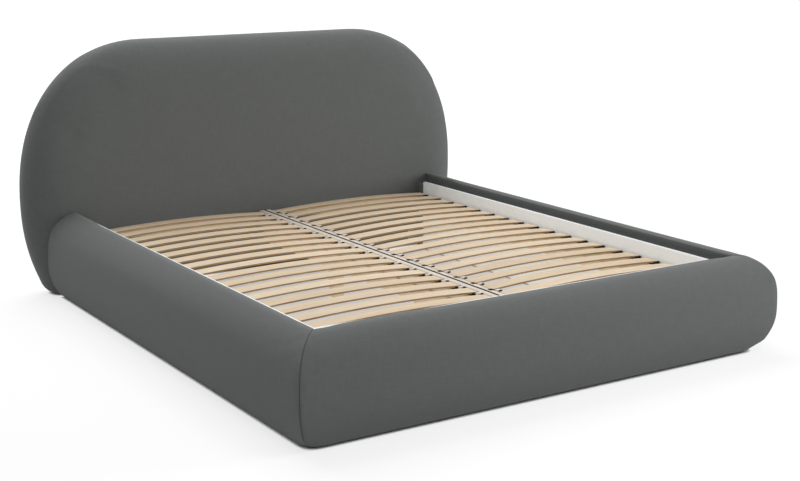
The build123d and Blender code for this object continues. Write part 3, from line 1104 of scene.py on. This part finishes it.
WOOD_SURFACE = {"Roughness": 0.85, "Specular IOR Level": 0.03}
CLOTH_SURFACE = {"Roughness": 0.92, "Specular IOR Level": 0.25, "Sheen Weight": 0.12, "Sheen Roughness": 0.5}
LINING_SURFACE = {"Roughness": 0.95, "Specular IOR Level": 0.2}


def upholstery_cloth(name):
    """Plain-woven grey upholstery fabric that follows the cloth's own flat places."""
    nodes, shader = new_finish(name, CLOTH_SURFACE)
    settings = bpy.context.scene.bed_cloth
    places = nodes.cloth_place()
    turns = 2 * math.pi / settings.thread_pitch
    threads = [nodes.math("SINE", nodes.math("MULTIPLY", way, turns)) for way in nodes.split(places)[:2]]
    weave = nodes.math("MULTIPLY", *threads)
    warp = nodes.noise(places, (420, 14, 1), 1.0)
    weft = nodes.noise(places, (14, 420, 1), 1.0)
    slubs = nodes.math("ADD", warp, weft)
    mottle = nodes.noise(places, 34.0, 3.0, 0.6)
    broad = nodes.noise(places, 3.2)
    tone = nodes.mixed((slubs, 0.38), (mottle, 0.16), (broad, 0.04), (weave, 0.06))
    colour = scaled(settings.colour, 255)
    shades = [(0.28, scaled(colour, 0.93)), (0.5, colour), (0.72, scaled(colour, 1.065))]
    height = nodes.mixed((weave, 0.5), (slubs, 0.6))
    dress(nodes, shader, nodes.ramp(tone, shades), height, settings.weave_depth, 0.6)


# Lighter and darker colour, how the grain is stretched, and the pitch of the boards that differ from
# one another; the slats' colours are settings
WOODS = {
    "birch_veneer": (None, None, (1.4, 60.0, 60.0), 0.1165),
    "layered_timber": ((212, 194, 166), (182, 156, 124), (60.0, 1.2, 90.0), 0.0),
    "pine_timber": ((232, 220, 200), (212, 196, 170), (40.0, 1.2, 40.0), 0.0),
    "panel_board": ((206, 180, 140), (168, 136, 96), (24.0, 24.0, 24.0), 0.0),
}


def wood(name):
    """Veneer or timber with its grain along one axis; slats differ a little from one another."""
    light, dark, along, board_pitch = WOODS[name]
    if board_pitch:
        colours = bpy.context.scene.bed_colours
        light, dark = scaled(colours.slat_light, 255), scaled(colours.slat_dark, 255)
    nodes, shader = new_finish(name, WOOD_SURFACE)
    place = nodes.object_place()
    grain = nodes.noise(place, along, 4.0, 0.62)
    fine = nodes.noise(place, tuple(part * 4 for part in along))
    tone = nodes.mixed((grain, 0.62), (fine, 0.38))
    if board_pitch:
        ways = nodes.split(place)
        row = nodes.math("DIVIDE", nodes.math("SUBTRACT", ways["Y"], FACE_Y), board_pitch)
        which = nodes.add("CombineXYZ", nodes.math("FLOOR", row), nodes.math("SIGN", ways["X"])).outputs[0]
        pick = nodes.add("TexWhiteNoise", noise_dimensions="2D", inputs={"Vector": which}).outputs["Value"]
        own = nodes.math("MULTIPLY", nodes.math("SUBTRACT", pick, 0.5), 0.22)
        tone = nodes.math("ADD", tone, own)
    middle = tuple((a + b) / 2 for a, b in zip(light, dark))
    colour = nodes.ramp(tone, [(0.3, dark), (0.56, middle), (0.72, light)])
    dress(nodes, shader, colour, tone, 0.0003, 0.5)


def edge_layers(name):
    """The cut edge of a slat: thin darker layers of veneer, one over another."""
    nodes, shader = new_finish(name, WOOD_SURFACE)
    streaks = nodes.noise(nodes.object_place(), (6.0, 6.0, 900.0), 3.0, 0.6)
    colour = nodes.ramp(streaks, [(0.35, (132, 106, 76)), (0.5, (158, 130, 96)), (0.65, (184, 156, 120))])
    dress(nodes, shader, colour, streaks, 0.0002, 0.5)


def lining_cloth(name):
    """Thin black lining with pressed-in dots that follow the cloth."""
    nodes, shader = new_finish(name, LINING_SURFACE)
    places = nodes.cloth_place()
    fibres = nodes.noise(places, (260, 40, 1), 3.0, 0.6)
    spacing = {"Vector": places, "Scale": 380.0, "Randomness": 0.15}
    dots = nodes.add("TexVoronoi", inputs=spacing).outputs["Distance"]
    tone = nodes.mixed((fibres, 0.7), (dots, 0.3))
    colour = nodes.ramp(tone, [(0.3, (34, 34, 35)), (0.5, (46, 46, 47)), (0.7, (58, 58, 59))])
    dress(nodes, shader, colour, tone, 0.0003, 0.5)


# Colour, roughness, specular, unevenness of the colour, metallic, and scale of the unevenness;
# the boards' colour is a setting
PLAIN_FINISHES = {
    "white_laminate": (None, 0.35, 0.5, 0.01, 0.0, 60.0),
    "black_back_cloth": ((46, 46, 47), 0.95, 0.1, 0.12, 0.0, 400.0),
    # The dark plastic is the holders' own colour, and is also painted shade on the frames' faces toward the
    # gap between them.
    "dark_plastic_and_painted_shade": ((34, 31, 29), 0.85, 0.1, 0.06, 0.0, 60.0),
    "pale_plastic": ((222, 214, 206), 0.6, 0.1, 0.03, 0.0, 60.0),
    # The pale finish is painted light on the frames' inner members.
    "pale_painted_light": ((216, 206, 194), 0.7, 0.1, 0.05, 0.0, 14.0),
    "zinc_steel": ((168, 170, 172), 0.38, 0.5, 0.05, 1.0, 30.0),
}


def plain_finish(name):
    """Moulded, painted or metal finish with a faint unevenness."""
    colour, roughness, specular, speck, metallic, scale = PLAIN_FINISHES[name]
    if colour is None:
        colour = scaled(bpy.context.scene.bed_colours.board_white, 255)
    surface = {"Roughness": roughness, "Specular IOR Level": specular, "Metallic": metallic}
    nodes, shader = new_finish(name, surface)
    value = nodes.noise(nodes.object_place(), scale, 4.0, 0.6)
    shade = nodes.ramp(value, [(0.3, scaled(colour, 1 - speck)), (0.7, scaled(colour, 1 + speck))])
    dress(nodes, shader, shade, value, 0.0002, 0.3)


MAKERS = {
    "upholstery_cloth": upholstery_cloth,
    "lining_cloth": lining_cloth,
    "slat_edge": edge_layers,
    **{name: wood for name in WOODS},
    **{name: plain_finish for name in PLAIN_FINISHES},
}


def finish(name):
    """The finish of that name, made when first asked for."""
    if name not in bpy.data.materials:
        MAKERS[name](name)
    return bpy.data.materials[name]


def give(piece, *names):
    """Add finishes to a piece, in order."""
    for name in names:
        piece.data.materials.append(finish(name))


# The finish of each of the record's material slots
SLOT_FINISHES = {
    "white_board": "white_laminate",
    "slat_veneer": "birch_veneer",
    "laminated_timber": "layered_timber",
    "timber": "pine_timber",
    "board": "panel_board",
    "back_cloth": "black_back_cloth",
    "plastic": "dark_plastic_and_painted_shade",
    "steel": "zinc_steel",
    "upholstery": "upholstery_cloth",
}


def finish_parts():
    """Give every carried-over part its finish."""
    for entry in frame["record"]["subparts"]:
        part = frame["nodes"][entry["node"]]
        part.data.materials.clear()
        give(part, SLOT_FINISHES[entry["material_slot"]])


def grey(value):
    return (value, value, value, 1)


FLOOR_SIZE = 30
# The floor turns white between these distances from the middle of the bed
WHITE_FROM = 2.4
WHITE_TO = 6.0
# How near the floor and the bed are where the floor's glow is darkened along the line between them as a
# painted contact shadow, and how open it is where that shadow starts and ends
CONTACT_SHADE_REACH = 0.022
CONTACT_SHADE_FROM = 0.25
CONTACT_SHADE_TO = 0.5
# How much the floor's glow is darkened under the bed, as painted shade
UNDER_BED_SHADE = 0.45


def add_floor():
    """A floor that looks white and shows the bed's soft shadow, partly cast and partly painted, and lights
    the bed evenly from below.
    """
    stage = bpy.context.scene.bed_stage
    deselect_all()
    bpy.ops.mesh.primitive_plane_add(size=FLOOR_SIZE, location=(0, 0, 0))
    floor = bpy.context.object
    floor.name = "floor"
    material = bpy.data.materials.new("pale_floor")
    nodes = Nodes(material)
    place = nodes.object_place()
    away = nodes.add("VectorMath", place, operation="LENGTH").outputs["Value"]
    fade = (away, WHITE_FROM, WHITE_TO, stage.floor_glow, 1.0)
    whiter = nodes.add("MapRange", *fade, interpolation_type="SMOOTHSTEP").outputs[0]
    # Painted contact shadow: the floor's glow is darkened where the bed is near.
    near = nodes.add("AmbientOcclusion", samples=8, inputs={"Distance": CONTACT_SHADE_REACH}).outputs["AO"]
    painted_contact_shade = nodes.add("MapRange", near, CONTACT_SHADE_FROM, CONTACT_SHADE_TO, 0.0, 1.0).outputs[0]
    ways = nodes.split(place)
    inside = [
        nodes.math("LESS_THAN", nodes.math("ABSOLUTE", ways[axis]), edge)
        for axis, edge in (("X", RECESS_HALF), ("Y", FACE_Y))
    ]
    under = nodes.math("MULTIPLY", *inside)
    # Painted shade: the floor's glow is lower under the bed.
    painted_under_bed_shade = nodes.math("SUBTRACT", 1.0, nodes.math("MULTIPLY", under, UNDER_BED_SHADE))
    shown = nodes.math("MULTIPLY", whiter, nodes.math("MULTIPLY", painted_contact_shade, painted_under_bed_shade))
    upwards = nodes.math("ADD", nodes.math("MULTIPLY", under, stage.under_light), stage.floor_bounce)

    def lit(tone, strength):
        diffuse = nodes.add("BsdfDiffuse", inputs={"Color": grey(tone)}).outputs[0]
        glow = nodes.add("Emission", inputs={"Strength": strength}).outputs[0]
        return nodes.add("AddShader", diffuse, glow).outputs[0]

    mix = nodes.add("MixShader", nodes.seen_directly(), lit(0.5, upwards), lit(stage.floor_shadow, shown))
    nodes.add("OutputMaterial", mix.outputs[0])
    floor.data.materials.append(material)


def add_room():
    """Even light from all sides, and a white room behind."""
    world = bpy.data.worlds.new("pale_room")
    bpy.context.scene.world = world
    nodes = Nodes(world)
    light, white = [
        nodes.add("Background", grey(1), strength).outputs[0]
        for strength in (bpy.context.scene.bed_stage.room_light, 1.0)
    ]
    mix = nodes.add("MixShader", nodes.seen_directly(), light, white)
    nodes.add("OutputWorld", mix.outputs[0])


def add_lamps():
    """Soft square lamps over the bed, on the right and over the foot end."""
    stage = bpy.context.scene.bed_stage
    for name, place, aim, size, power in (
        ("overhead", (-0.4, 2.8, 5.0), (0.2, 0.0, 0), 5.0, stage.overhead_power),
        ("right_fill", (5.0, -3.2, 1.5), (0.8, -1.1, 0.3), 2.5, stage.fill_power),
        ("front_fill", (0.2, -2.6, 2.4), (0.2, -2.5, 0), 1.2, stage.front_power),
    ):
        bpy.ops.object.light_add(type="AREA", location=place)
        lamp = bpy.context.object
        lamp.name = name
        lamp.data.shape = "SQUARE"
        lamp.data.size = size
        lamp.data.energy = power
        lamp.rotation_euler = (Vector(aim) - Vector(place)).to_track_quat("-Z", "Y").to_euler()


# The photograph's camera, in metres, degrees and millimetres
CAMERA_PLACE = (-3.151, -5.068, 1.707)
CAMERA_TILT = 77.21
CAMERA_TURN = -32.76
CAMERA_LENS = 63.819


def add_camera():
    """The camera at the photograph's place and angle."""
    bpy.ops.object.camera_add(location=CAMERA_PLACE)
    camera = bpy.context.object
    camera.rotation_euler = (math.radians(CAMERA_TILT), 0, math.radians(CAMERA_TURN))
    camera.data.sensor_width = 36
    camera.data.lens = CAMERA_LENS
    camera.data.dof.use_dof = False
    bpy.context.scene.camera = camera
    bpy.context.scene.view_settings.view_transform = "Standard"


def add_stage():
    """Floor, room, lamps and camera."""
    add_floor()
    add_room()
    add_lamps()
    add_camera()


class BedSizeSettings(bpy.types.PropertyGroup):
    """Sizes of the slats, the frames' members and the padding."""

    slat_thickness: bpy.props.FloatProperty(
        name="Slat thickness", description="Thickness of a bowed slat",
        default=0.0075, min=0.005, max=0.0079, unit="LENGTH")
    member_round: bpy.props.FloatProperty(
        name="Member rounding", description="Rounding of the frames' long edges",
        default=0.0038, min=0.001, max=0.008, unit="LENGTH")
    seam_depth: bpy.props.FloatProperty(
        name="Seam depth", description="How far the cloth is drawn in at the mitres",
        default=0.006, min=0.001, max=0.01, unit="LENGTH")
    toe_round: bpy.props.FloatProperty(
        name="Toe rounding", description="Rounding of the foot end's corners near the floor",
        default=0.07, min=0.01, max=0.12, unit="LENGTH")
    head_fullness: bpy.props.FloatProperty(
        name="Headboard fullness", description="How far the headboard's cloth swells at most",
        default=0.004, min=0.001, max=0.01, unit="LENGTH")


class BedClothSettings(bpy.types.PropertyGroup):
    """Colour and weave of the upholstery."""

    colour: bpy.props.FloatVectorProperty(
        name="Cloth colour", description="sRGB colour of the upholstery",
        default=(0.396, 0.409, 0.405), min=0, max=1, subtype="COLOR_GAMMA")
    thread_pitch: bpy.props.FloatProperty(
        name="Thread pitch", description="Width of one over-and-under of the weave",
        default=0.0022, unit="LENGTH")
    weave_depth: bpy.props.FloatProperty(
        name="Weave depth", description="Depth of the weave's relief",
        default=0.0004, unit="LENGTH")


class BedColourSettings(bpy.types.PropertyGroup):
    """Colours of the slats and the boards."""

    slat_light: bpy.props.FloatVectorProperty(
        name="Slat colour", description="sRGB colour of the slats' pale grain",
        default=(0.9137, 0.8431, 0.749), min=0, max=1, subtype="COLOR_GAMMA")
    slat_dark: bpy.props.FloatVectorProperty(
        name="Slat grain", description="sRGB colour of the slats' dark grain",
        default=(0.8314, 0.7529, 0.6471), min=0, max=1, subtype="COLOR_GAMMA")
    board_white: bpy.props.FloatVectorProperty(
        name="Board colour", description="sRGB colour of the inner boards",
        default=(0.98, 0.99, 0.996), min=0, max=1, subtype="COLOR_GAMMA")


class BedStageSettings(bpy.types.PropertyGroup):
    """Light and floor."""

    room_light: bpy.props.FloatProperty(
        name="Room light", description="Strength of the even light",
        default=0.405)
    overhead_power: bpy.props.FloatProperty(
        name="Overhead lamp", description="Power of the lamp over the bed",
        default=240.0, unit="POWER")
    fill_power: bpy.props.FloatProperty(
        name="Right lamp", description="Power of the lamp on the right",
        default=168.0, unit="POWER")
    front_power: bpy.props.FloatProperty(
        name="Front lamp", description="Power of the lamp over the foot end",
        default=13.0, unit="POWER")
    floor_glow: bpy.props.FloatProperty(
        name="Floor brightness", description="How bright the floor shows without light",
        default=0.74)
    under_light: bpy.props.FloatProperty(
        name="Light under the bed", description="Even light that the floor adds under the slats",
        default=0.48)
    floor_bounce: bpy.props.FloatProperty(
        name="Floor bounce", description="Even light that the floor gives back to the bed",
        default=0.14)
    floor_shadow: bpy.props.FloatProperty(
        name="Floor shadow", description="How much of the floor's tone depends on light",
        default=0.29)


class BED_OT_add_headboard(bpy.types.Operator):
    """Model the padded headboard."""

    bl_idname = "bed.add_headboard"
    bl_label = "Headboard"

    def execute(self, context):
        headboard_cover()
        return {"FINISHED"}


class BED_OT_add_side_rails(bpy.types.Operator):
    """Model the padding of the two side rails."""

    bl_idname = "bed.add_side_rails"
    bl_label = "Side rails"

    def execute(self, context):
        for side_name in SIDES:
            side_rail(side_name)
        return {"FINISHED"}


class BED_OT_add_footboard(bpy.types.Operator):
    """Model the padding of the footboard."""

    bl_idname = "bed.add_footboard"
    bl_label = "Footboard"

    def execute(self, context):
        footboard_cover()
        return {"FINISHED"}


class BED_OT_add_boards(bpy.types.Operator):
    """Model the white inner boards."""

    bl_idname = "bed.add_boards"
    bl_label = "White boards"

    def execute(self, context):
        add_boards()
        return {"FINISHED"}


class BED_OT_add_frame_timbers(bpy.types.Operator):
    """Model the members and end bars of the slatted frames."""

    bl_idname = "bed.add_frame_timbers"
    bl_label = "Frame timbers"

    def execute(self, context):
        add_frame_timbers()
        return {"FINISHED"}


class BED_OT_add_holders(bpy.types.Operator):
    """Model the slat holders of both frames."""

    bl_idname = "bed.add_holders"
    bl_label = "Slat holders"

    def execute(self, context):
        add_holders()
        return {"FINISHED"}


class BED_OT_add_back_cloth(bpy.types.Operator):
    """Model the cloth on the headboard's back."""

    bl_idname = "bed.add_back_cloth"
    bl_label = "Back cloth"

    def execute(self, context):
        add_back_cloth()
        return {"FINISHED"}


class BED_OT_add_slats(bpy.types.Operator):
    """Model the slats of both frames."""

    bl_idname = "bed.add_slats"
    bl_label = "Slats"

    def execute(self, context):
        add_slats()
        return {"FINISHED"}


class BED_OT_finish_parts(bpy.types.Operator):
    """Give every carried-over part its finish."""

    bl_idname = "bed.finish_parts"
    bl_label = "Part finishes"

    def execute(self, context):
        finish_parts()
        return {"FINISHED"}


class BED_OT_add_stage(bpy.types.Operator):
    """Set up the floor, the light and the camera."""

    bl_idname = "bed.add_stage"
    bl_label = "Stage"

    def execute(self, context):
        add_stage()
        return {"FINISHED"}


class BED_PT_panel(bpy.types.Panel):
    """Lists the bed's pieces and settings."""

    bl_idname = "BED_PT_panel"
    bl_label = "Bed"
    bl_space_type = "VIEW_3D"
    bl_region_type = "UI"
    bl_category = "Bed"

    def draw(self, context):
        for operator in OPERATORS:
            self.layout.operator(operator.bl_idname)
        for group in SETTINGS:
            settings = getattr(context.scene, group)
            for name in settings.bl_rna.properties.keys():
                if name not in ("rna_type", "name"):
                    self.layout.prop(settings, name)


OPERATORS = (
    BED_OT_finish_parts,
    BED_OT_add_headboard,
    BED_OT_add_side_rails,
    BED_OT_add_footboard,
    BED_OT_add_boards,
    BED_OT_add_frame_timbers,
    BED_OT_add_holders,
    BED_OT_add_slats,
    BED_OT_add_back_cloth,
    BED_OT_add_stage,
)
SETTINGS = {
    "bed_sizes": BedSizeSettings,
    "bed_cloth": BedClothSettings,
    "bed_colours": BedColourSettings,
    "bed_stage": BedStageSettings,
}
CLASSES = (*SETTINGS.values(), *OPERATORS, BED_PT_panel)


def register():
    for item in CLASSES:
        bpy.utils.register_class(item)
    for name, group in SETTINGS.items():
        setattr(bpy.types.Scene, name, bpy.props.PointerProperty(type=group))


def unregister():
    for name in SETTINGS:
        delattr(bpy.types.Scene, name)
    for item in reversed(CLASSES):
        bpy.utils.unregister_class(item)


def main():
    register()
    for operator in OPERATORS:
        group, name = operator.bl_idname.split(".")
        getattr(getattr(bpy.ops, group), name)()


if __name__ == "__main__":
    main()
